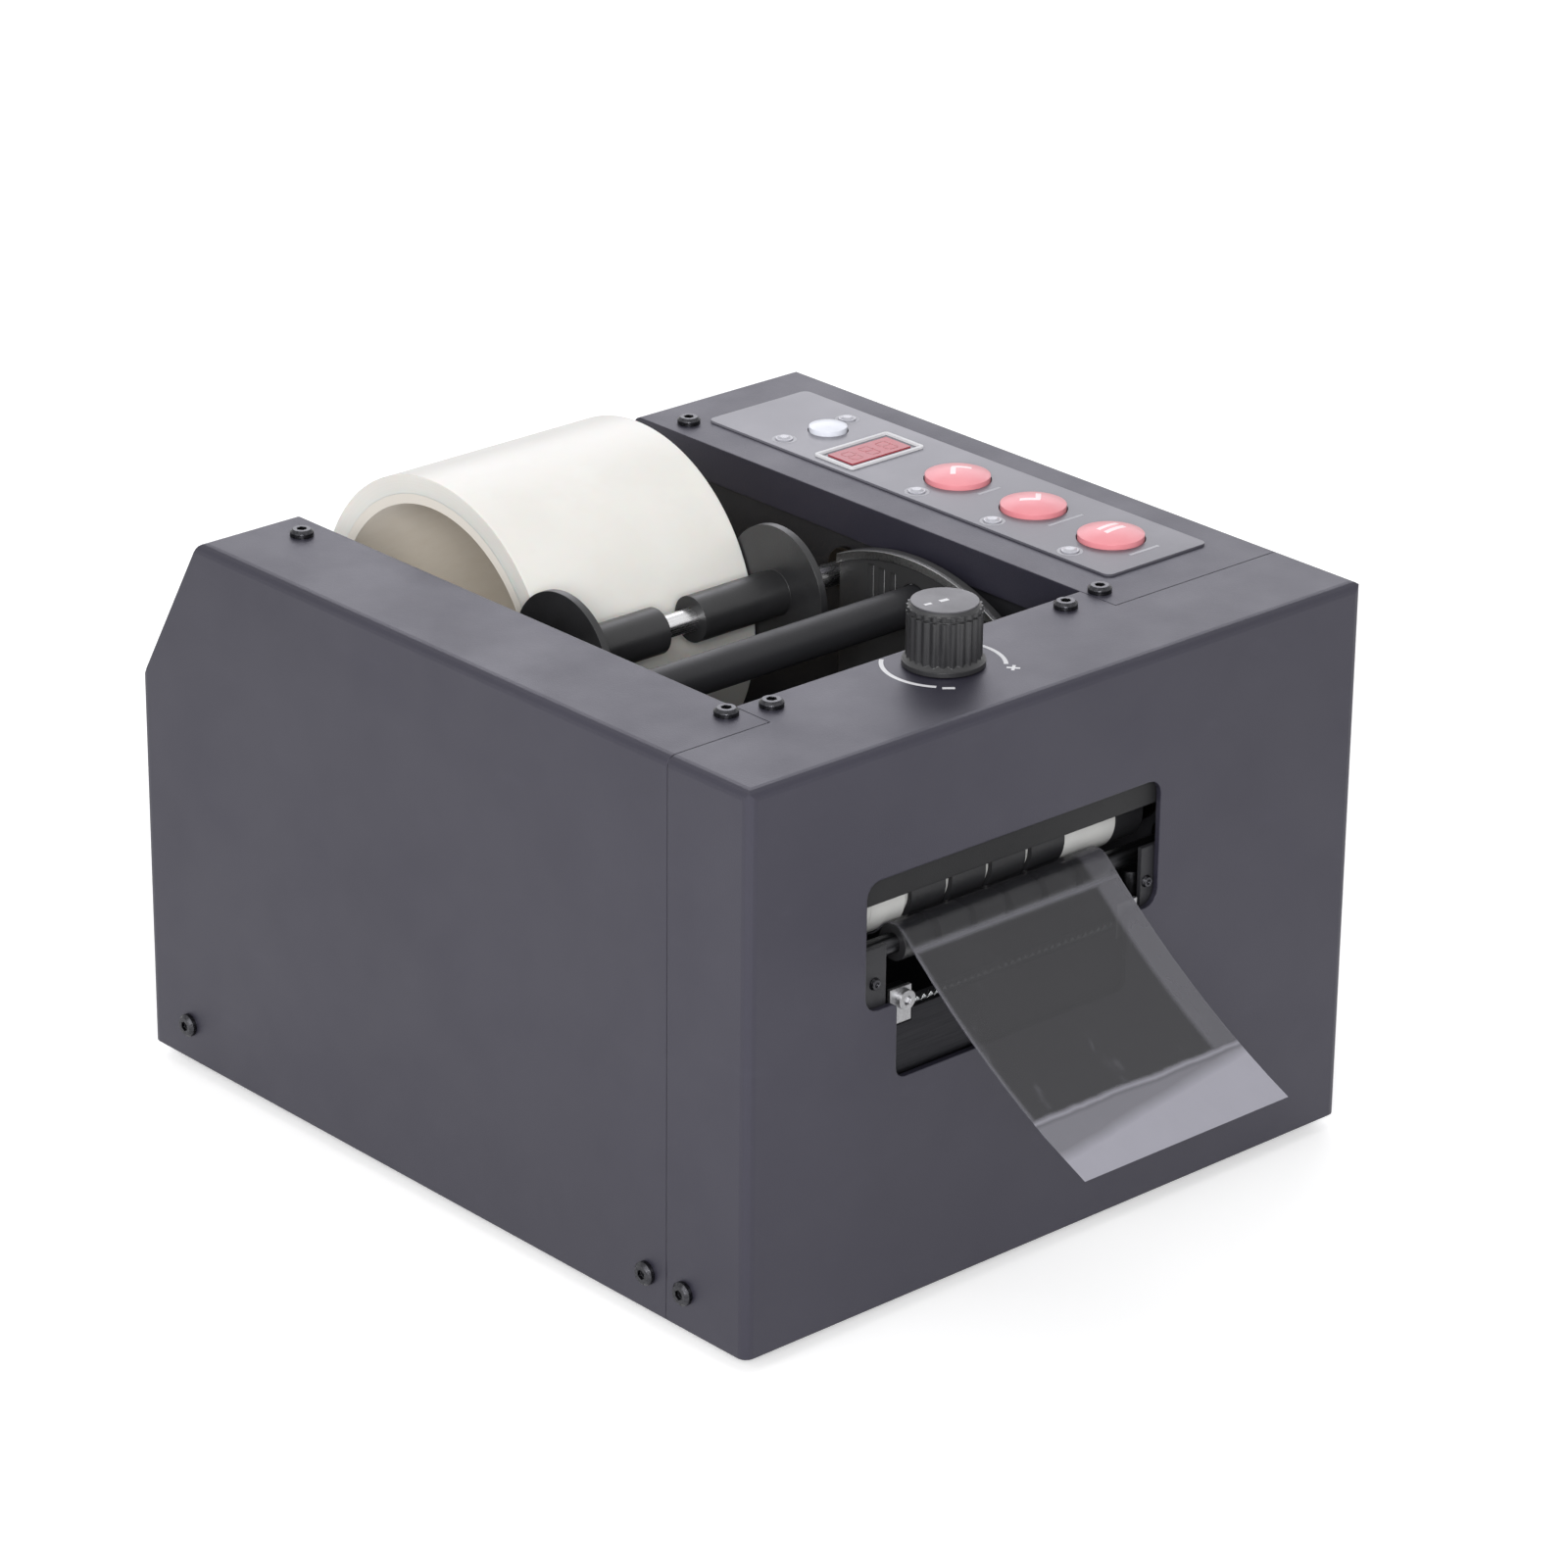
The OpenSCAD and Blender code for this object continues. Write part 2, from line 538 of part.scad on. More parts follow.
// Fixed black brackets in front of the nip roller's ends
br_x = [slot_x0 + 8, slot_x1 - 4];
br_y = [yf + rim_o, yf + rim_o + 1.3];
br_z = [cz0 + 20, cz0 + 37];
ear_t = 1.5;
ear_z = [cz0 + 16, cz0 + 26.5];
module nip_brackets() lift() color(black_c) {
  bx([lf1, br_y[0], br_z[0]], [br_x[0], br_y[1], br_z[1]]);
  bx([lf1, br_y[0], ear_z[0]], [lf1 + ear_t, yf + 11, ear_z[1]]);
  bx([br_x[1], br_y[0], br_z[0]], [rf0, br_y[1], br_z[1]]);
  bx([rf0 - ear_t, br_y[0], ear_z[0]], [rf0, yf + 11, ear_z[1]]);
}
module bracket_screws() lift() color(black_c) for (x = [br_x[0] - 3.6, br_x[1] + 1.9])
  translate([x, br_y[0], cz0 + 28]) rotate([90, 0, 0]) difference() {
    cylinder(h = 0.9, r1 = 1.6, r2 = 1.2);
    translate([0, 0, 0.4]) cylinder(h = 1, r = 0.7, $fn = 6);
  }
module guide_posts() lift() color(steel_c) for (x = cut_x) {
  cz(floor_z, cz0 + 28.5, [x, cut_y], post_r);
  cz(floor_z, floor_z + 3, [x, cut_y], post_r + 2.5);
  cz(cz0 - 5, cz0 - air, [x, cut_y], post_r + 2);
}
sol_p = [tape_cx, yf + 14];
sol_z = cz0 - 16;
sol_w = 29;
sol_r = 4;
module solenoid_body() lift() color("#55585c") difference() {
  union() {
    bx([sol_p.x - sol_w / 2, yf + 4, floor_z], [sol_p.x + sol_w / 2, yf + 24, sol_z - 2]);
    cz(sol_z - 2.1, sol_z, sol_p, sol_r + 3);
  }
  cz(floor_z + 4, sol_z + 5, sol_p, sol_r + run);
}
module solenoid_plunger() lift() color(steel_c) cz(max(floor_z + 5, sol_z - 28), cz0, sol_p, sol_r);

// Controls
module flute_2d() polygon([for (i = [0:6 * flute_n - 1]) let (a = i * 60 / flute_n)
  (knob_r - 0.3 + 0.3 * cos(a * flute_n)) * [cos(a), sin(a)]]);
skirt_r = knob_r + 0.9;
cap_r = knob_r - 1;
cap_t = 0.4;
module speed_knob() lift() color(black_c) translate([knob_p.x, knob_p.y, zt]) difference() {
  union() {
    translate([0, 0, air]) cylinder(h = 1.2, r = skirt_r);
    translate([0, 0, air + 1.1]) cylinder(h = 1.2, r1 = skirt_r, r2 = knob_r - 0.7);
    translate([0, 0, air + 1.1]) linear_extrude(knob_h - cap_t - 2.1) flute_2d();
    translate([0, 0, knob_h - cap_t - 1]) cylinder(h = 1, r1 = knob_r - 0.3, r2 = cap_r);
  }
  translate([0, 0, knob_h - cap_t - 2.4]) difference() {
    cylinder(h = 0.5, r = knob_r + 1);
    translate([0, 0, -1]) cylinder(h = 3, r = knob_r - 0.75);
  }
  translate([0, 0, -1]) cylinder(h = 4, r = pot_neck + 1);
  translate([0, 0, -1]) cylinder(h = knob_h - 3.8, r = pot_sr + press);
}
module knob_cap() lift() color("#77777d") translate([knob_p.x, knob_p.y, zt + knob_h - cap_t])
  cylinder(h = cap_t, r = cap_r);
module pot_shaft() lift() color(steel_c) cz(zt - 9, zt + knob_h - 5, knob_p, pot_sr);
module potentiometer() lift() color("#4f5a52") difference() {
  union() {
    cz(zt - 16, zt - sheet_t, knob_p, 9);
    cz(zt - 3, zt + 2.4, knob_p, pot_neck);
  }
  cz(zt - 9.5, zt + 5, knob_p, pot_sr + run);
}
film_t = 0.6;
module panel_overlay() lift() color("#2e2d33") difference() {
  translate([0, 0, zt]) linear_extrude(film_t) polygon(rrect(54.5 + dr, -73, 89 + dr, 74.7, 2));
  for (y = btn_y) cz(zt - 4, zt + 4, [btn_x, y], button_r + air);
  cz(zt - 4, zt + 4, wbtn, wbtn_r + air);
}
// Display: its middle, and half sizes of the frame, the frame's opening and the window
show_c = [69.75 + dr, 29.25];
show_s = [12.75, 7.25];
show_o = show_s - [0.9, 0.9];
show_w = [10.15, 4.65];
module display_frame() lift() color("#d5d5d8") difference() {
  translate([0, 0, zt + film_t]) linear_extrude(film_t) polygon(around(show_c, show_s.x, show_s.y, 1));
  slab(show_c, show_o, zt, zt + 3);
}
module display_window() lift() color("#7a1420") slab(show_c, show_w, zt + film_t, zt + film_t + 0.4);
// Domed button with a flange under the cover and a stem over its switch
stem_r = 2.2;
module button(p, r) {
  rise = r * 0.2;
  big = (r * r + rise * rise) / (2 * rise);
  intersection() {
    translate([p.x, p.y, zt + 1.8 + rise - big]) sphere(big, $fn = 64);
    cz(zt - 3.5, zt + 10, p, r);
  }
  cz(zt - 3.5, zt - sheet_t - air, p, r + 1.2);
  cz(sw_top + 1.1, zt - 3.4, p, stem_r);
}
module rear_button() lift() color(red_c) button([btn_x, btn_y[0]], button_r);
module middle_button() lift() color(red_c) button([btn_x, btn_y[1]], button_r);
module front_button() lift() color(red_c) button([btn_x, btn_y[2]], button_r);
module white_button() lift() color("#d9dadd") button(wbtn, wbtn_r);
lamp_r = 2.2;
module indicator_lamps() lift() color("#c23a3a") for (p = lamps) {
  cz(zt + film_t, zt + film_t + 0.4, p, lamp_r);
  translate([p.x, p.y, zt + film_t + 0.3]) cylinder(h = 0.5, r1 = lamp_r - 0.1, r2 = lamp_r - 1);
}
board_t = 1.5;
key_s = 3;
module board_key(p) bx([p.x - key_s, p.y - key_s, board_z - 0.1], [p.x + key_s, p.y + key_s, sw_top]);
module control_board() lift() color("#2f6b46") {
  bx([54 + dr, -75, board_z - board_t], [92 + dr, 78, board_z]);
  for (y = btn_y) board_key([btn_x, y]);
  board_key(wbtn);
  bx([60 + dr, 25, board_z - 0.1], [79.5 + dr, 33.5, zt - 5]);
  for (x = [57 + dr, 89 + dr]) for (y = [-70, 73]) cz(board_z - 0.1, zt - sheet_t, [x, y], 2.5);
}

// Power
ps_x = [5 - xh, 23 - xh];
ps_h = 50;
fin_h = 6;
module power_supply() lift() color("#b5b7ba") {
  bx([ps_x[0], -50, floor_z], [ps_x[1], 50, floor_z + ps_h]);
  for (i = [0:7]) bx([ps_x[0], -46 + 12 * i, floor_z + ps_h - 0.1],
    [ps_x[1], -44 + 12 * i, floor_z + ps_h + fin_h]);
}
module power_inlet() lift() color(black_c) {
  difference() {
    union() {
      py(yr, yr + 2) polygon(around(in_p, 15, 12, 3));
      py(yr - 20, yr + 0.1) polygon(around(in_p, in_w / 2, in_h / 2, 2));
    }
    py(yr - 16, yr + 3) polygon(around(in_p, in_w / 2 - 1.4, in_h / 2 - 1.4, 2));
  }
  for (p = [[-7, 0], [0, 4], [7, 0]])
    bx([in_p.x + p.x - 1, yr - 16.1, in_p.y + p.y - 2], [in_p.x + p.x + 1, yr - 3, in_p.y + p.y + 2]);
}
pivot = [yr - 3, sw_p.y];
pivot_r = 1.2;
module switch_housing() lift() color(black_c) difference() {
  union() {
    py(yr, yr + 2) polygon(around(sw_p, sw_w / 2 + 1.5, sw_h / 2 + 1.5, 1.5));
    py(yr - 18, yr + 0.1) polygon(around(sw_p, sw_w / 2, sw_h / 2, 1));
  }
  bx([sw_p.x - sw_w / 2 + 1, yr - 9, sw_p.y - 9.8], [sw_p.x + sw_w / 2 - 1, yr + 3, sw_p.y + 9.8]);
  cx(sw_p.x - 6.6, sw_p.x + 6.6, pivot, pivot_r + run);
}
module switch_rocker() lift() color("#b3262c") {
  translate([0, pivot.x, pivot.y]) rotate([-10, 0, 0]) px(sw_p.x - 5.7, sw_p.x + 5.7)
    polygon([[-1.5, -8.4], [6.5, -8.4], [4.8, 0], [6.5, 8.4], [-1.5, 8.4]]);
  cx(sw_p.x - 6.5, sw_p.x + 6.5, pivot, pivot_r);
}

base_plate();
rubber_feet();
left_cover();
right_cover();
front_cover();
cover_screws();
left_frame();
right_frame();
left_bushes();
right_bushes();
guide_bar();
gear_guard();
guard_rim();
tape_core();
tape_winding();
tape_web();
front_support_roller();
rear_support_roller();
spool_shaft();
left_spool_hub();
right_spool_hub();
feed_shaft();
feed_sleeve();
feed_grips();
feed_gear();
ring_shaft();
nip_rings();
drive_pinion();
drive_motor();
motor_bracket();
slot_guard();
cutter_blade();
blade_carriage();
blade_clamps();
clamp_screws();
guide_posts();
nip_brackets();
bracket_screws();
solenoid_body();
solenoid_plunger();
speed_knob();
knob_cap();
pot_shaft();
potentiometer();
panel_overlay();
display_frame();
display_window();
rear_button();
middle_button();
front_button();
white_button();
indicator_lamps();
control_board();
power_supply();
power_inlet();
switch_housing();
switch_rocker();
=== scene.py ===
import math

import bmesh
import bpy
from mathutils import Matrix, Vector
from mathutils.bvhtree import BVHTree


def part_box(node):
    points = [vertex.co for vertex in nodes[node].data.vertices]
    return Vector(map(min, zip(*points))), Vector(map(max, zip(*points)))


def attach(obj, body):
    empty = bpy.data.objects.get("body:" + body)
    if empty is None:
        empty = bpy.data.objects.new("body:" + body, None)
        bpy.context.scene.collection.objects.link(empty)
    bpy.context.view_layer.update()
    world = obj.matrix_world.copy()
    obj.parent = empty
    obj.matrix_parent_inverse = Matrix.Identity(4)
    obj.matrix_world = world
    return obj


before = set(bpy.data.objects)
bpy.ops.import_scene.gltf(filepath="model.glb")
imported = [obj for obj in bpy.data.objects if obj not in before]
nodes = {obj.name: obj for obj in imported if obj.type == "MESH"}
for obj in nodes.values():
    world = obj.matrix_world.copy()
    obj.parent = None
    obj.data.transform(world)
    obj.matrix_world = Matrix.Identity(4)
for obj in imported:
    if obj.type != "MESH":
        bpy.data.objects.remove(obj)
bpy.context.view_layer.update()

scene = bpy.context.scene
scene.view_settings.view_transform = "Standard"
mm = 0.001
white = (1.0, 1.0, 1.0)

# Sockets of a Mix node that mixes colours
mix_a, mix_b, mix_out = 6, 7, 2


# A node tree, with the operations that the materials and the world share
class Tree:
    def __init__(self, tree):
        self.tree = tree

    def link(self, a, b):
        self.tree.links.new(a, b)

    def node(self, kind, **props):
        n = self.tree.nodes.new(kind)
        for key, value in props.items():
            setattr(n, key, value)
        return n

    def math(self, op, a, b=None):
        n = self.node("ShaderNodeMath", operation=op)
        for socket, v in zip(n.inputs, (a, b)):
            if isinstance(v, (int, float)):
                socket.default_value = v
            elif v is not None:
                self.link(v, socket)
        return n.outputs[0]

    def most(self, *values):
        top = values[0]
        for v in values[1:]:
            top = self.math("MAXIMUM", top, v)
        return top

    # Clamped change of range, from a..b to lo..hi
    def spread(self, fac, lo, hi, a=0.3, b=0.7):
        n = self.node("ShaderNodeMapRange")
        for key, value in (("From Min", a), ("From Max", b), ("To Min", lo), ("To Max", hi)):
            n.inputs[key].default_value = value
        self.link(fac, n.inputs["Value"])
        return n.outputs["Result"]

    # 1 for camera, glossy and transmission rays, which show the background, and 0 for other rays
    def seen(self):
        rays = self.node("ShaderNodeLightPath").outputs
        return self.most(rays["Is Camera Ray"], rays["Is Glossy Ray"], rays["Is Transmission Ray"])


# A material's tree, which starts at object coordinates: metres in the shared frame
class Graph(Tree):
    def __init__(self, name):
        self.mat = bpy.data.materials.new(name)
        self.mat.use_nodes = True
        super().__init__(self.mat.node_tree)
        self.bsdf = self.tree.nodes["Principled BSDF"]
        self.place = self.node("ShaderNodeTexCoord").outputs["Object"]

    # Object coordinates stretched along each axis
    def scaled(self, sx, sy, sz):
        n = self.node("ShaderNodeMapping")
        n.inputs["Scale"].default_value = (sx, sy, sz)
        self.link(self.place, n.inputs["Vector"])
        return n.outputs["Vector"]

    def noise(self, scale, detail, rough, vector=None):
        n = self.node("ShaderNodeTexNoise")
        n.inputs["Scale"].default_value = scale
        n.inputs["Detail"].default_value = detail
        n.inputs["Roughness"].default_value = rough
        self.link(self.place if vector is None else vector, n.inputs["Vector"])
        return n.outputs["Fac"]

    def voronoi(self, scale):
        n = self.node("ShaderNodeTexVoronoi")
        n.inputs["Scale"].default_value = scale
        self.link(self.place, n.inputs["Vector"])
        return n.outputs["Distance"]

    # Colour from lo to hi as a value goes from a to b
    def ramp(self, fac, lo, hi, a=0.3, b=0.7):
        n = self.node("ShaderNodeValToRGB")
        for stop, position, colour in zip(n.color_ramp.elements, (a, b), (lo, hi)):
            stop.position = position
            stop.color = (*colour, 1.0)
        self.link(fac, n.inputs["Fac"])
        return n.outputs["Color"]

    def mix(self, fac, a, b):
        n = self.node("ShaderNodeMix", data_type="RGBA")
        self.link(fac, n.inputs["Factor"])
        self.link(a, n.inputs[mix_a])
        n.inputs[mix_b].default_value = (*b, 1.0)
        return n.outputs[mix_out]

    def axis(self, which):
        n = self.node("ShaderNodeSeparateXYZ")
        self.link(self.place, n.inputs[0])
        return n.outputs[which]

    # How far a value is from a number
    def away(self, value, number):
        return self.math("ABSOLUTE", self.math("SUBTRACT", value, number))

    # Distance from the line along X through (y, z) = c
    def radius_x(self, c):
        y = self.math("SUBTRACT", self.axis("Y"), c[0])
        z = self.math("SUBTRACT", self.axis("Z"), c[1])
        squares = [self.math("MULTIPLY", v, v) for v in (y, z)]
        return self.math("SQRT", self.math("ADD", *squares))

    # Noise that changes with one number only
    def rings(self, fac, scale):
        n = self.node("ShaderNodeCombineXYZ")
        self.link(fac, n.inputs["X"])
        return self.noise(scale, 3, 0.6, n.outputs[0])

    def color(self, out):
        self.link(out, self.bsdf.inputs["Base Color"])

    def rough(self, out):
        self.link(out, self.bsdf.inputs["Roughness"])

    # Surface relief, with edges rounded to a radius
    def bump(self, height, strength, dist, edge=0.0):
        n = self.node("ShaderNodeBump")
        n.inputs["Strength"].default_value = strength
        n.inputs["Distance"].default_value = dist
        self.link(height, n.inputs["Height"])
        if edge > 0:
            v = self.node("ShaderNodeBevel", samples=4)
            v.inputs["Radius"].default_value = edge
            self.link(v.outputs[0], n.inputs["Normal"])
        self.link(n.outputs[0], self.bsdf.inputs["Normal"])

    def set(self, **vals):
        for key, value in vals.items():
            self.bsdf.inputs[key.replace("_", " ")].default_value = value
        return self.mat


# Powder coat: fine orange-peel grain, slow clouds and a few paler scuffs; a tint other than white paints a
# coloured reflection
def powder(name, lo, hi, r0=0.40, r1=0.50, shine=0.5, tint=white):
    g = Graph(name)
    scuff = g.noise(60, 6, 0.7, g.scaled(1.0, 0.35, 2.2))
    pale = tuple(c * 1.5 + 0.006 for c in hi)
    coat = g.ramp(g.noise(14, 4, 0.6), lo, hi)
    g.color(g.mix(g.spread(scuff, 0.0, 0.35, 0.60, 0.80), coat, pale))
    g.rough(g.spread(g.noise(35, 5, 0.6), r0, r1))
    g.bump(g.noise(2600, 2, 0.5), 0.16, 0.3 * mm, 0.5 * mm)
    return g.set(Specular_IOR_Level=shine, Specular_Tint=(*tint, 1.0))


# Moulded plastic or rubber with a fine grain
def plastic(name, lo, hi, r0, r1, grain=1800, depth=0.12, edge=0.3 * mm):
    g = Graph(name)
    g.color(g.ramp(g.noise(40, 4, 0.6), lo, hi))
    g.rough(g.spread(g.noise(90, 4, 0.6), r0, r1))
    g.bump(g.noise(grain, 2, 0.5), depth, 0.2 * mm, edge)
    return g.set(Specular_IOR_Level=0.5)


# Print or thin sheet: hardly any grain, and sharp edges
def ink(name, lo, hi, r0=0.45, r1=0.60, grain=1500):
    return plastic(name, lo, hi, r0, r1, grain, 0.05, 0.0)


# Stretch of a metal's brush lines along X, Y and Z: the smaller it is, the longer they run that way
lines_x = (1, 60, 60)
lines_x_short = (2, 60, 60)
lines_x_fine = (1, 60, 160)
lines_y = (60, 2, 60)
speckle = (60, 60, 60)
speckle_wide = (40, 40, 40)


def metal(name, lo, hi, r0=0.18, r1=0.34, stretch=lines_x):
    g = Graph(name)
    brushed = g.noise(40, 5, 0.7, g.scaled(*stretch))
    g.color(g.ramp(brushed, lo, hi))
    g.rough(g.spread(brushed, r0, r1))
    g.bump(brushed, 0.08, 0.2 * mm, 0.3 * mm)
    return g.set(Metallic=1.0)


# Printed film of the control panel, a little lighter toward the back as a painted reflection
def panel_film_with_painted_reflection(y0, y1):
    g = Graph("panel_film_with_painted_reflection")
    # Painted reflection: the film's colour grows lighter toward the back of the panel
    fade = g.spread(g.axis("Y"), 0.0, 1.0, y0, y1)
    haze = g.noise(30, 5, 0.6)
    base = g.ramp(fade, (0.072, 0.070, 0.088), (0.190, 0.187, 0.215), 0.0, 1.0)
    g.color(g.mix(g.spread(haze, 0.0, 0.4, 0.45, 0.8), base, (0.220, 0.217, 0.240)))
    g.rough(g.spread(haze, 0.30, 0.42))
    g.bump(g.noise(1500, 2, 0.5), 0.06, 0.2 * mm, 0.2 * mm)
    return g.set(Specular_IOR_Level=0.5)


def display_filter():
    g = Graph("display_filter")
    cloud = g.noise(120, 3, 0.5)
    g.color(g.ramp(cloud, (0.36, 0.045, 0.060), (0.46, 0.070, 0.085)))
    g.rough(g.spread(cloud, 0.30, 0.40))
    g.bump(g.noise(500, 2, 0.5), 0.03, 0.2 * mm)
    return g.set(Specular_IOR_Level=0.5)


# Wound tape: fine layer rings on the end faces, slow clouds on the outside
def winding(c):
    g = Graph("tape_layers")
    wobble = g.math("MULTIPLY", g.noise(30, 4, 0.6), 1.2 * mm)
    layers = g.rings(g.math("ADD", g.radius_x(c), wobble), 2600)
    cloud = g.noise(22, 4, 0.55)
    body = g.ramp(cloud, (0.72, 0.705, 0.665), (0.78, 0.768, 0.733))
    g.color(g.mix(g.spread(layers, 0.0, 0.40, 0.45, 0.75), body, (0.66, 0.635, 0.575)))
    g.rough(g.spread(cloud, 0.26, 0.40))
    g.bump(layers, 0.12, 0.3 * mm, 0.4 * mm)
    return g.set(Specular_IOR_Level=0.5, Subsurface_Weight=0.15, Subsurface_Scale=4 * mm)


# Cardboard core: pale plies on the end faces, warm fibres along the tube, with the fuzz of raw card
def card(c, x0, x1):
    g = Graph("card_core")
    plies = g.rings(g.radius_x(c), 3000)
    fibre = g.noise(300, 6, 0.7, g.scaled(0.35, 1.0, 1.0))
    base = g.ramp(fibre, (0.91, 0.83, 0.71), (0.95, 0.88, 0.77))
    tube = g.mix(g.spread(plies, 0.0, 0.4, 0.5, 0.7), base, (0.85, 0.77, 0.65))
    end = (x1 - x0) / 2 - 0.1 * mm
    fade = 0.5 * mm
    end_face = g.spread(g.away(g.axis("X"), (x0 + x1) / 2), 0.0, 0.9, end - fade, end)
    g.color(g.mix(end_face, tube, (0.74, 0.70, 0.64)))
    g.rough(g.spread(fibre, 0.75, 0.9))
    g.bump(fibre, 0.25, 0.3 * mm)
    return g.set(Specular_IOR_Level=0.3, Sheen_Weight=0.8, Sheen_Roughness=0.5,
                 Sheen_Tint=(1.0, 0.94, 0.86, 1.0))


# Clear tape: clear inside the slot, smoky where it hangs free, milky at its end, its edges and its
# creases, with a painted highlight along its fold
def clear_tape(x0, x1, y_end, y_fold):
    rim_w, rim_fade = 1.2 * mm, 1.0 * mm
    strip_w, strip_fade = 8.5 * mm, 1.5 * mm
    fold_highlight_core, fold_highlight_w = 0.3 * mm, 1.0 * mm
    seam_core, seam_w = 0.1 * mm, 1.2 * mm
    seam_y = y_end + 18.0 * mm
    alpha_free, alpha_inside, inside_fade = 0.74, 0.40, 1.5 * mm
    g = Graph("clear_tape_film")
    x, y = g.axis("X"), g.axis("Y")
    cloud = g.noise(38, 4, 0.6, g.scaled(1.0, 0.6, 0.6))
    rim_x = (x1 - x0) / 2 - rim_w
    rim = g.spread(g.away(x, (x0 + x1) / 2), 0.0, 0.30, rim_x, rim_x + rim_fade)
    strip = g.spread(x, 0.0, 0.25, x1 - strip_w, x1 - strip_w + strip_fade)
    # Painted highlight: a pale line along the fold at the front sheet's inner face
    fold_highlight = g.spread(g.away(y, y_fold), 0.30, 0.0, fold_highlight_core, fold_highlight_w)
    crease = g.spread(g.noise(90, 5, 0.65, g.scaled(1.0, 0.35, 0.35)), 0.0, 0.16, 0.62, 0.72)
    # The end is milky in two steps, a straight and a slanted one, up to a pale seam
    ragged = g.math("ADD", y, g.math("MULTIPLY", cloud, 3 * mm))
    slant = g.math("MULTIPLY", g.math("SUBTRACT", x1, x), 0.12)
    straight_step = g.spread(ragged, 0.50, 0.0, seam_y - 1.5 * mm, seam_y + 1.0 * mm)
    slanted_step = g.spread(g.math("ADD", ragged, slant), 0.50, 0.0, seam_y - 3.0 * mm, seam_y)
    end = g.math("ADD", straight_step, slanted_step)
    seam = g.spread(g.away(ragged, seam_y), 0.75, 0.0, seam_core, seam_w)
    # Milky parts together with the painted fold highlight
    milky_and_highlight = g.most(end, strip, rim, crease, fold_highlight, seam)
    haze = g.spread(cloud, 0.0, 0.08, 0.45, 0.75)
    smoke = g.spread(y, alpha_free, alpha_inside, y_fold, y_fold + inside_fade)
    alpha = g.math("ADD", g.math("ADD", smoke, g.math("MULTIPLY", milky_and_highlight, 0.12)), haze)
    g.link(alpha, g.bsdf.inputs["Alpha"])
    g.color(g.ramp(milky_and_highlight, (0.028, 0.028, 0.032), (0.33, 0.325, 0.375), 0.0, 1.0))
    g.rough(g.spread(cloud, 0.10, 0.20))
    g.bump(cloud, 0.05, 1.0 * mm)
    return g.set(Specular_IOR_Level=0.5)


# Feed rubber: pale silicone left of a split, black right of it
def feed_rubber(name, x_split):
    g = Graph(name)
    cloud = g.noise(40, 4, 0.6)
    pale = g.ramp(cloud, (0.50, 0.50, 0.49), (0.60, 0.60, 0.585))
    dark = g.spread(g.axis("X"), 0.0, 1.0, x_split - 0.1 * mm, x_split + 0.1 * mm)
    g.color(g.mix(dark, pale, (0.016, 0.016, 0.018)))
    g.rough(g.spread(cloud, 0.40, 0.55))
    g.bump(g.noise(1200, 2, 0.5), 0.18, 0.2 * mm, 0.3 * mm)
    return g.set(Specular_IOR_Level=0.4)


def circuit_board():
    g = Graph("circuit_board")
    cells = g.voronoi(260)
    g.color(g.ramp(cells, (0.02, 0.13, 0.06), (0.035, 0.22, 0.10), 0.1, 0.5))
    g.rough(g.spread(cells, 0.3, 0.5, 0.0, 0.8))
    g.bump(cells, 0.1, 0.2 * mm)
    return g.set(Specular_IOR_Level=0.5)


def lamp_lens():
    g = Graph("lamp_lens")
    cloud = g.noise(500, 3, 0.5)
    g.color(g.ramp(cloud, (0.34, 0.34, 0.38), (0.42, 0.42, 0.46)))
    g.rough(g.spread(cloud, 0.22, 0.34))
    g.bump(cloud, 0.05, 0.2 * mm)
    return g.set(Coat_Weight=0.3)


def middle_of(name):
    lo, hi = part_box(name)
    return (Vector(lo) + Vector(hi)) / 2


roll = middle_of("tape_winding")
roll_c = (roll.y, roll.z)
core_lo, core_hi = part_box("tape_core")
web_lo, web_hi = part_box("tape_web")
web_x = (web_lo[0] + web_hi[0]) / 2
panel_lo, panel_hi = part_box("panel_overlay")

# Where the feed roller's pale silicone ends, measured from the tape's middle
sleeve_split = web_x + 42.0 * mm
grip_split = web_x - 26.0 * mm

# The tape comes out through the front sheet, and folds at its inner face
sheet_t = 1.5 * mm
fold_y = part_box("front_cover")[0][1] + sheet_t

print_white = ink("white_print", (0.62, 0.62, 0.64), (0.72, 0.72, 0.74))
print_pale = ink("pale_print", (0.34, 0.34, 0.37), (0.42, 0.42, 0.45))
print_pink = ink("pink_print", (0.90, 0.70, 0.72), (0.94, 0.78, 0.80), 0.40, 0.50)
# Painted light: white for the sheet that shows as light through the gear guard's slots
slot_light_white = ink("slot_light_white", (0.86, 0.86, 0.88), (0.92, 0.92, 0.94), grain=900)
segment_red = ink("segment_red", (0.33, 0.075, 0.085), (0.40, 0.10, 0.11), 0.35, 0.45, 900)

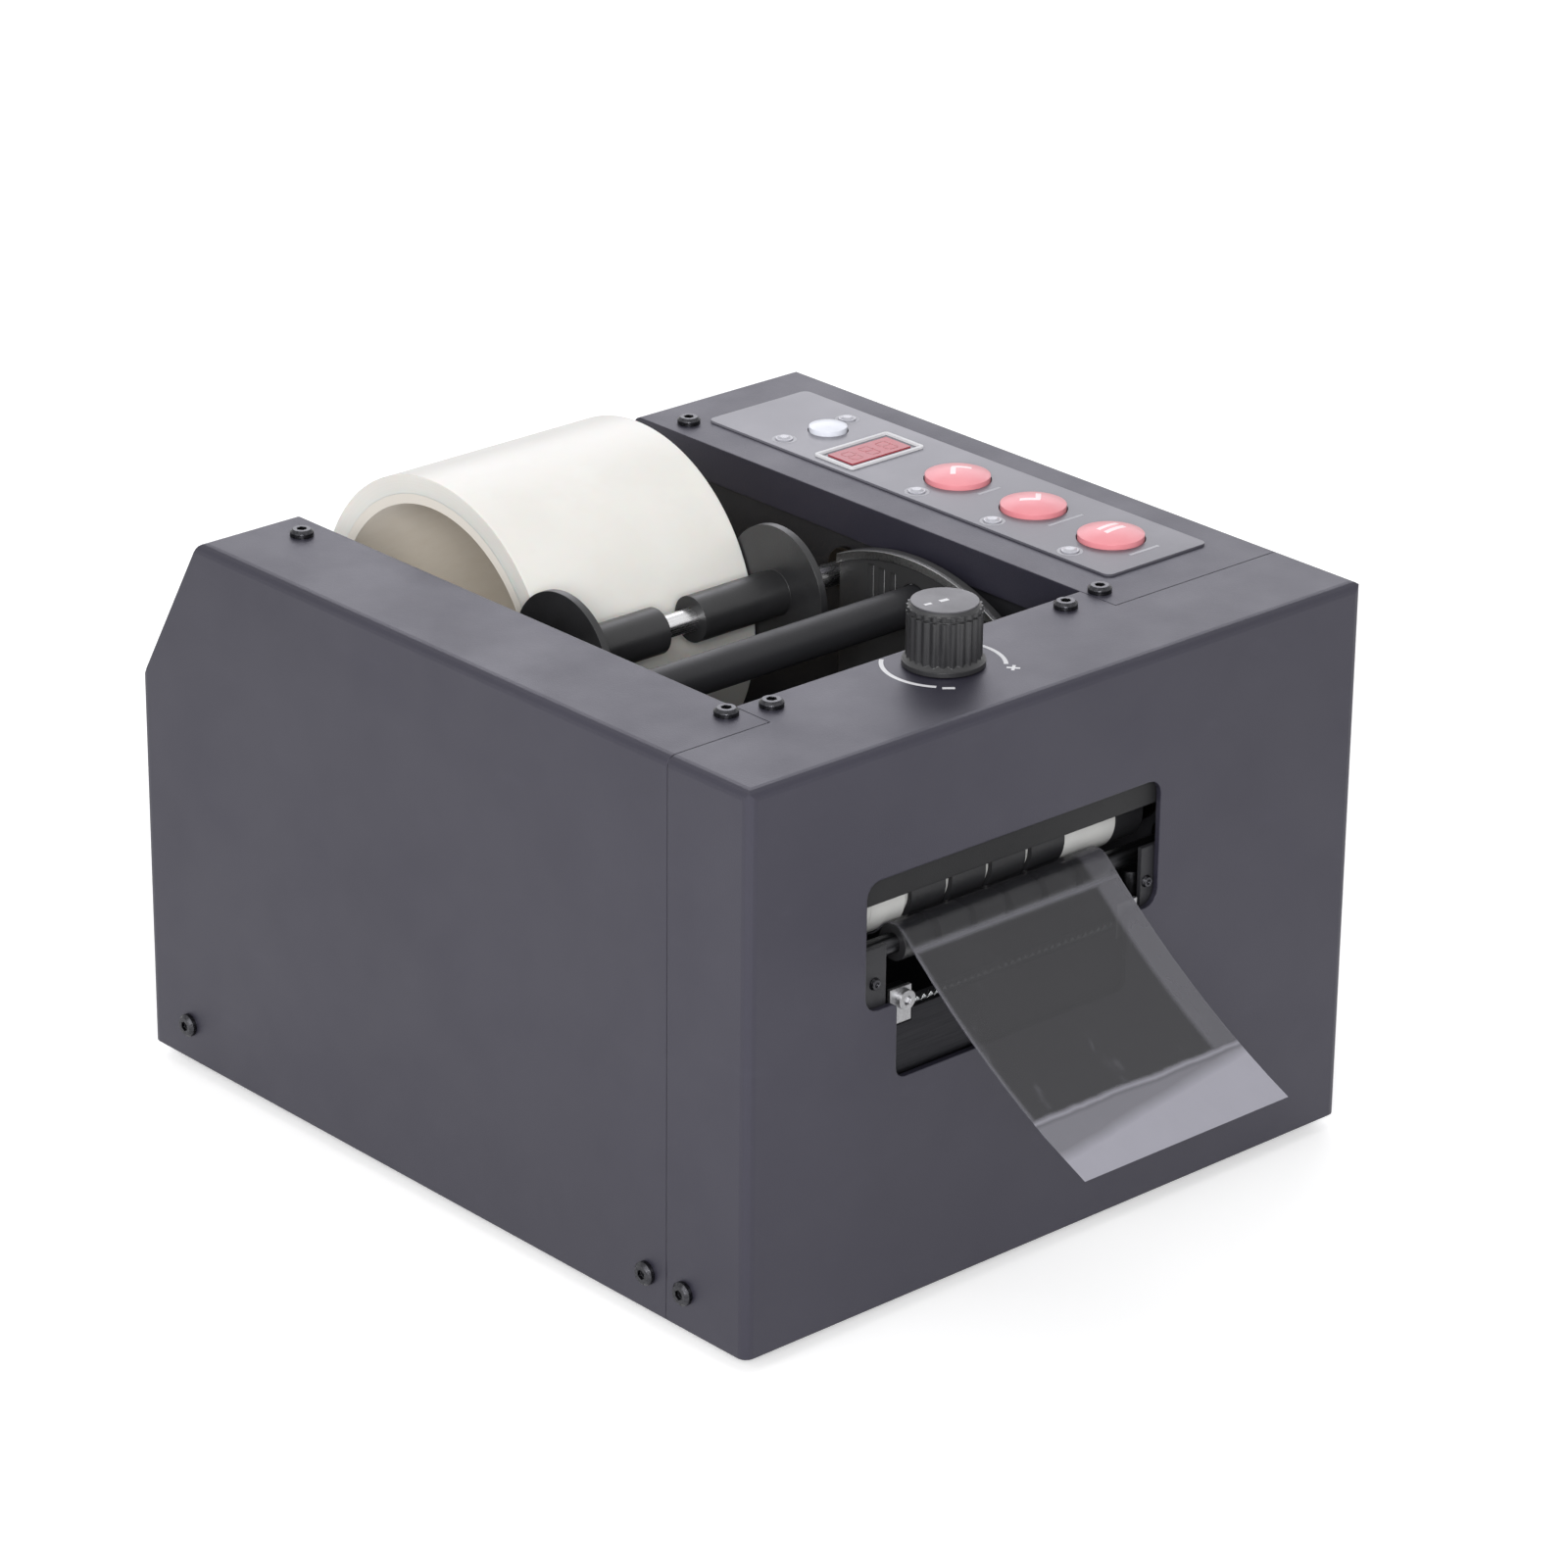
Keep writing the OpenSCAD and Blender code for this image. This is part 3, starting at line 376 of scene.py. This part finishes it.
# Each finish with the nodes that wear it
finishes = [
    # Case: its reflections are tinted blue, a painted reflection of bluish light from above and the left
    (powder("case_powder_coat", (0.0138, 0.0130, 0.0212), (0.0174, 0.0165, 0.0262),
            shine=0.58, tint=(0.89, 0.87, 1.0)),
     ["base_plate", "left_cover", "right_cover", "front_cover"]),
    (powder("inner_black_paint", (0.015, 0.015, 0.017), (0.022, 0.022, 0.025), 0.40, 0.52, 0.3),
     ["left_frame", "right_frame", "guide_bar", "nip_brackets"]),
    (powder("guard_bar_paint", (0.010, 0.010, 0.011), (0.015, 0.015, 0.016), 0.48, 0.60, 0.22),
     ["slot_guard"]),
    (powder("guard_plate_paint", (0.026, 0.026, 0.027), (0.038, 0.038, 0.039), 0.36, 0.48, 0.4),
     ["gear_guard"]),
    (powder("coil_paint", (0.10, 0.11, 0.12), (0.15, 0.16, 0.17)),
     ["solenoid_body", "potentiometer"]),
    (metal("black_oxide_screw", (0.030, 0.030, 0.034), (0.075, 0.075, 0.082), 0.20, 0.34, speckle_wide),
     ["cover_screws", "bracket_screws"]),
    (metal("bright_steel", (0.60, 0.60, 0.61), (0.80, 0.80, 0.81)),
     ["spool_shaft", "feed_shaft", "solenoid_plunger", "pot_shaft"]),
    (metal("clamp_steel", (0.26, 0.26, 0.27), (0.46, 0.46, 0.47), 0.30, 0.45, speckle_wide),
     ["blade_clamps", "clamp_screws"]),
    (metal("blued_shaft", (0.040, 0.040, 0.044), (0.075, 0.075, 0.08), 0.28, 0.42),
     ["ring_shaft", "guide_posts"]),
    (metal("blade_steel", (0.30, 0.31, 0.32), (0.46, 0.47, 0.48), 0.20, 0.34, lines_x_fine),
     ["cutter_blade"]),
    (metal("guard_bright_rim", (0.30, 0.30, 0.30), (0.52, 0.52, 0.52), 0.25, 0.40, speckle),
     ["guard_rim"]),
    (metal("bush_dark_bronze", (0.030, 0.026, 0.022), (0.060, 0.052, 0.044), 0.34, 0.48, speckle),
     ["left_bushes", "right_bushes"]),
    (metal("pinion_brass", (0.55, 0.39, 0.13), (0.72, 0.54, 0.22), 0.20, 0.35, speckle),
     ["drive_pinion"]),
    (metal("supply_aluminium", (0.50, 0.51, 0.52), (0.68, 0.69, 0.70), 0.34, 0.50, lines_y),
     ["drive_motor", "motor_bracket", "power_supply"]),
    (metal("black_anodised", (0.018, 0.018, 0.021), (0.034, 0.034, 0.038), 0.38, 0.52, lines_x_short),
     ["blade_carriage"]),
    (plastic("foot_rubber", (0.012, 0.012, 0.012), (0.022, 0.022, 0.022), 0.70, 0.85, 900, 0.3),
     ["rubber_feet"]),
    (plastic("black_plastic", (0.014, 0.014, 0.015), (0.024, 0.024, 0.026), 0.30, 0.44),
     ["left_spool_hub", "right_spool_hub", "speed_knob",
      "power_inlet", "switch_housing", "switch_rocker"]),
    (plastic("roller_plastic", (0.020, 0.020, 0.021), (0.034, 0.034, 0.036), 0.40, 0.55),
     ["front_support_roller", "rear_support_roller"]),
    (feed_rubber("sleeve_silicone", sleeve_split), ["feed_sleeve"]),
    (feed_rubber("grip_rubber", grip_split), ["feed_grips"]),
    (plastic("nip_rubber", (0.012, 0.012, 0.013), (0.022, 0.022, 0.024), 0.34, 0.50, 1200, 0.2),
     ["nip_rings"]),
    (plastic("gear_plastic", (0.62, 0.57, 0.42), (0.72, 0.67, 0.52), 0.40, 0.55),
     ["feed_gear"]),
    (plastic("knob_top_grey", (0.050, 0.049, 0.056), (0.068, 0.067, 0.075), 0.34, 0.46),
     ["knob_cap"]),
    (plastic("button_red", (0.71, 0.22, 0.25), (0.81, 0.31, 0.345), 0.30, 0.42, 700, 0.08),
     ["rear_button", "middle_button", "front_button"]),
    (plastic("button_white", (0.70, 0.72, 0.79), (0.79, 0.81, 0.88), 0.24, 0.36, 700, 0.08),
     ["white_button"]),
    (print_white, ["display_frame"]),
    (panel_film_with_painted_reflection(panel_lo[1], panel_hi[1]), ["panel_overlay"]),
    (display_filter(), ["display_window"]),
    (lamp_lens(), ["indicator_lamps"]),
    (circuit_board(), ["control_board"]),
    (card(roll_c, core_lo[0], core_hi[0]), ["tape_core"]),
    (winding(roll_c), ["tape_winding"]),
    (clear_tape(web_lo[0], web_hi[0], web_lo[1], fold_y), ["tape_web"]),
]
for material, names in finishes:
    for name in names:
        slots = nodes[name].data.materials
        slots.clear()
        slots.append(material)


def add(name, data):
    ob = bpy.data.objects.new(name, data)
    scene.collection.objects.link(ob)
    return ob


def add_mesh(name, bm, mat):
    me = bpy.data.meshes.new(name)
    bm.to_mesh(me)
    bm.free()
    me.materials.append(mat)
    return add(name, me)


def new_piece(name, bm, mat, body):
    bmesh.ops.recalc_face_normals(bm, faces=bm.faces)
    ob = add_mesh(name, bm, mat)
    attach(ob, body)


# Height of a node's upper side at a place, found by a ray from above
def top_of(name):
    me = nodes[name].data
    tree = BVHTree.FromPolygons([v.co for v in me.vertices], [p.vertices for p in me.polygons])
    start_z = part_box(name)[1][2] + 10 * mm
    return lambda x, y: tree.ray_cast(Vector((x, y, start_z)), Vector((0, 0, -1)))[0].z


# Cross-section of a printed line: shares of its half width, with the height over the surface
ink_t = 0.05 * mm
ink_profile = ((1.0, 0.0), (0.9, ink_t), (-0.9, ink_t), (-1.0, 0.0))


# Printed line through points in XY, a little proud of the surface whose height is under(x, y)
def line(bm, pts, width, under, closed=False):
    n = len(pts)
    sides = len(ink_profile)
    rows = []
    for i, p in enumerate(pts):
        a = pts[(i - 1) % n] if closed or i > 0 else p
        b = pts[(i + 1) % n] if closed or i < n - 1 else p
        along = (Vector(b) - Vector(a)).normalized()
        side = Vector((-along.y, along.x)) * width / 2
        row = []
        for share, rise in ink_profile:
            q = Vector(p) + side * share
            row.append(bm.verts.new((q.x, q.y, under(q.x, q.y) + rise)))
        rows.append(row)
    for i in range(n if closed else n - 1):
        u, v = rows[i], rows[(i + 1) % n]
        for k in range(sides):
            after = (k + 1) % sides
            bm.faces.new((u[k], u[after], v[after], v[k]))
    if not closed:
        bm.faces.new(rows[0])
        bm.faces.new(rows[-1])


def polar(c, r, degrees):
    a = math.radians(degrees)
    return Vector((c.x + r * math.cos(a), c.y + r * math.sin(a)))


def arc_points(c, r, a0, a1, n):
    return [polar(c, r, a0 + (a1 - a0) * i / n) for i in range(n + 1)]


# Points from corner to corner, close enough together to follow a dome
def stroke(corners, n=6):
    pts = [corners[0]]
    for a, b in zip(corners, corners[1:]):
        pts += [a.lerp(b, (i + 1) / n) for i in range(n)]
    return pts


# Straight dash about a middle point, at an angle
def dash(bm, c, length, degrees, width, under):
    ends = [polar(c, -length / 2, degrees), polar(c, length / 2, degrees)]
    line(bm, stroke(ends), width, under)


# Dial round the knob: arcs from plus round to minus, cut off where the deck ends behind the knob
arc_n = 32
deck = top_of("front_cover")
knob = middle_of("speed_knob")
dial_r, dial_w = 14.7 * mm, 1.1 * mm
dial_from, dial_to = -42, 220
deck_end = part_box("front_cover")[1][1] - 0.7 * mm
deck_a = math.degrees(math.asin((deck_end - knob.y) / dial_r))
bm = bmesh.new()
for a0, a1 in ((dial_from, deck_a), (180 - deck_a, dial_to)):
    line(bm, arc_points(knob, dial_r, a0, a1, arc_n), dial_w, deck)

# Plus and minus, both a little outside the arc's circle
plus_a, plus_out, plus_l, plus_w = 309.7, 1.8 * mm, 3.2 * mm, 0.8 * mm
arm_out, arm_l = 1.0 * mm, 1.2 * mm
minus_a, minus_out, minus_l = 231, 0.6 * mm, 3.0 * mm
plus_c = polar(knob, dial_r + plus_out, plus_a)
dash(bm, plus_c, plus_l, plus_a, plus_w, deck)
for side in (-1, 1):
    dash(bm, polar(plus_c, side * arm_out, plus_a + 90), arm_l, plus_a + 90, plus_w, deck)
dash(bm, polar(knob, dial_r + minus_out, minus_a), minus_l, minus_a + 90, dial_w, deck)
new_piece("dial_print", bm, print_white, "chassis")

# Two pale dashes on the knob's cap, each with its distance from the axis, length and width
cap_dash_a = 172
cap_dashes = ((0.3 * mm, 2.4 * mm, 1.2 * mm), (4.9 * mm, 2.0 * mm, 0.9 * mm))
cap = top_of("knob_cap")
bm = bmesh.new()
for out, length, width in cap_dashes:
    dash(bm, polar(knob, out, cap_dash_a), length, cap_dash_a, width, cap)
new_piece("knob_cap_dashes", bm, print_white, "knob")

# Panel print: a ring round each lamp, three of them beside the red buttons and two beside the white one
panel = top_of("panel_overlay")
reds = {n: middle_of(n + "_button") for n in ("rear", "middle", "front")}
white_button = middle_of("white_button")
lamp_x = panel_lo[0] + 4.5 * mm
white_lamps = ((-13.2 * mm, 2.3 * mm), (9.3 * mm, 2.8 * mm))
ring_r, ring_w = 2.85 * mm, 0.8 * mm
lamps = [Vector((lamp_x, c.y)) for c in reds.values()]
lamps += [white_button.xy + Vector(offset) for offset in white_lamps]
bm = bmesh.new()
for c in lamps:
    line(bm, arc_points(c, ring_r, 0, 360, arc_n)[:-1], ring_w, panel, True)
new_piece("lamp_print_rings", bm, print_pale, "chassis")

# A plain line in front of each red button
button_lines = (("rear", 7.5 * mm), ("middle", 12.0 * mm), ("front", 10.0 * mm))
button_line_out, button_line_w = 11.5 * mm, 0.9 * mm
bm = bmesh.new()
for name, length in button_lines:
    c = reds[name].xy - Vector((0, button_line_out))
    dash(bm, c, length, 0, button_line_w, panel)
new_piece("button_print_lines", bm, print_pale, "chassis")

# Plain signs on the red buttons: a chevron to the back, one to the front, and a pair of bars
sign_w, sign_arm = 1.4 * mm, 3.3 * mm
wing_l = 1.4 * sign_arm
bar_out = 1.3 * mm
for name, turn in (("rear", 90), ("middle", -90), ("front", None)):
    c = reds[name].xy
    top = top_of(name + "_button")
    bm = bmesh.new()
    if turn is None:
        for shift in (-bar_out, bar_out):
            dash(bm, c + Vector((0, shift)), 2 * sign_arm, 0, sign_w, top)
    else:
        tip = polar(c, sign_arm / 2, turn)
        wings = [polar(tip, wing_l, turn + 135), tip, polar(tip, wing_l, turn - 135)]
        line(bm, stroke(wings), sign_w, top)
    new_piece(name + "_button_sign", bm, print_pink, "button_" + name)

# Unlit digits on the display's filter: three sets of seven bars
window = middle_of("display_window")
glass = top_of("display_window")
digit_w, digit_h, digit_step = 3.2 * mm, 5.6 * mm, 6.0 * mm
bar_w, bar_gap = 0.5 * mm, 0.8 * mm
bm = bmesh.new()
for i in (-1, 0, 1):
    c = Vector((window.x + i * digit_step, window.y))
    for row in (-1, 0, 1):
        dash(bm, c + Vector((0, row * digit_h / 2)), digit_w - bar_gap, 0, bar_w, glass)
    for sx in (-1, 1):
        for sy in (-1, 1):
            at = c + Vector((sx * digit_w / 2, sy * digit_h / 4))
            dash(bm, at, digit_h / 2 - bar_gap, 90, bar_w, glass)
new_piece("display_segments", bm, segment_red, "chassis")

# Pale sheet behind the slots of the gear guard, standing in as painted light seen through them: its edges
# are measured from the guard's back and top
guard_lo, guard_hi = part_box("gear_guard")
guard_t = 2.0 * mm
slot_light_x = guard_lo[0] + guard_t
slot_light_t = 0.4 * mm
slot_light_y = (guard_hi[1] - 46.5 * mm, guard_hi[1] - 8.5 * mm)
slot_light_z = (guard_hi[2] - 22.0 * mm, guard_hi[2] - 5.0 * mm)
corner_r, corner_n = 2.0 * mm, 6
bm = bmesh.new()
front, back = [], []
for y, z, turn in ((0, 0, 180), (1, 0, 270), (1, 1, 0), (0, 1, 90)):
    c = Vector((slot_light_y[y] + corner_r * (1 - 2 * y), slot_light_z[z] + corner_r * (1 - 2 * z)))
    for p in arc_points(c, corner_r, turn, turn + 90, corner_n):
        front.append(bm.verts.new((slot_light_x, p.x, p.y)))
        back.append(bm.verts.new((slot_light_x + slot_light_t, p.x, p.y)))
bm.faces.new(front)
bm.faces.new(back)
for i in range(len(front)):
    k = (i + 1) % len(front)
    bm.faces.new((front[i], front[k], back[k], back[i]))
new_piece("guard_slot_light_sheet", bm, slot_light_white, "chassis")

# Floor: pale, and white to the camera and in reflections, with the object's shadow kept
floor_glow = 0.35
floor_half = 6.0
g = Graph("pale_floor")
g.color(g.ramp(g.noise(3, 3, 0.5), (0.88, 0.88, 0.88), (0.91, 0.91, 0.91)))
g.rough(g.spread(g.noise(20, 3, 0.5), 0.7, 0.8))
g.link(g.math("MULTIPLY", g.seen(), floor_glow), g.bsdf.inputs["Emission Strength"])
g.set(Emission_Color=(*white, 1.0))
bm = bmesh.new()
bmesh.ops.create_grid(bm, x_segments=2, y_segments=2, size=floor_half)
floor = add_mesh("floor", bm, g.mat)

# World: soft light on the object, plain white to the camera and in reflections
sky_light = 0.46
world = bpy.data.worlds.new("studio")
scene.world = world
world.use_nodes = True
sky = Tree(world.node_tree)
backdrop = world.node_tree.nodes["Background"]
backdrop.inputs["Color"].default_value = (*white, 1.0)
sky.link(sky.spread(sky.seen(), sky_light, 1.0, 0.0, 1.0), backdrop.inputs["Strength"])


def soft_box(name, loc, target, size, watts, tint=white):
    data = bpy.data.lights.new(name, "AREA")
    data.shape = "RECTANGLE"
    data.size, data.size_y = size
    data.energy = watts
    data.color = tint
    ob = add(name, data)
    ob.location = loc
    ob.rotation_euler = (Vector(target) - Vector(loc)).to_track_quat("-Z", "Y").to_euler()


soft_box("key_left", (-1.8, -0.3, 1.0), (0, 0, 0.08), (1.2, 1.2), 10)
soft_box("top_soft", (0.1, 0.3, 1.9), (0, 0, 0.10), (1.6, 1.6), 4.5)
soft_box("camera_fill", (-1.16, -1.30, 0.84), (0, 0, 0.10), (0.8, 0.6), 26)
soft_box("back_soft", (1.2, 1.3, 1.1), (0, 0, 0.14), (1.6, 1.0), 9.5, (0.92, 0.91, 1.0))

# Camera at the photograph's angle: turned about Z from the front, raised, rolled, and set back
az, el, tilt = math.radians(-41.80), math.radians(23.571), math.radians(0.428)
aim = Vector((0.0, 0.0, 0.076))
distance = 1.5058
away = Vector((math.sin(az) * math.cos(el), -math.cos(az) * math.cos(el), math.sin(el)))
cam_data = bpy.data.cameras.new("photo_camera")
cam_data.sensor_width = 36.0
cam_data.lens = 137.75
cam_data.shift_x = 0.0281
cam_data.shift_y = 0.02075
cam_data.clip_end = 50.0
facing = away.to_track_quat("Z", "Y").to_matrix().to_4x4() @ Matrix.Rotation(tilt, 4, "Z")
cam = add("photo_camera", cam_data)
cam.matrix_world = Matrix.Translation(aim + away * distance) @ facing
scene.camera = cam

bpy.context.view_layer.update()
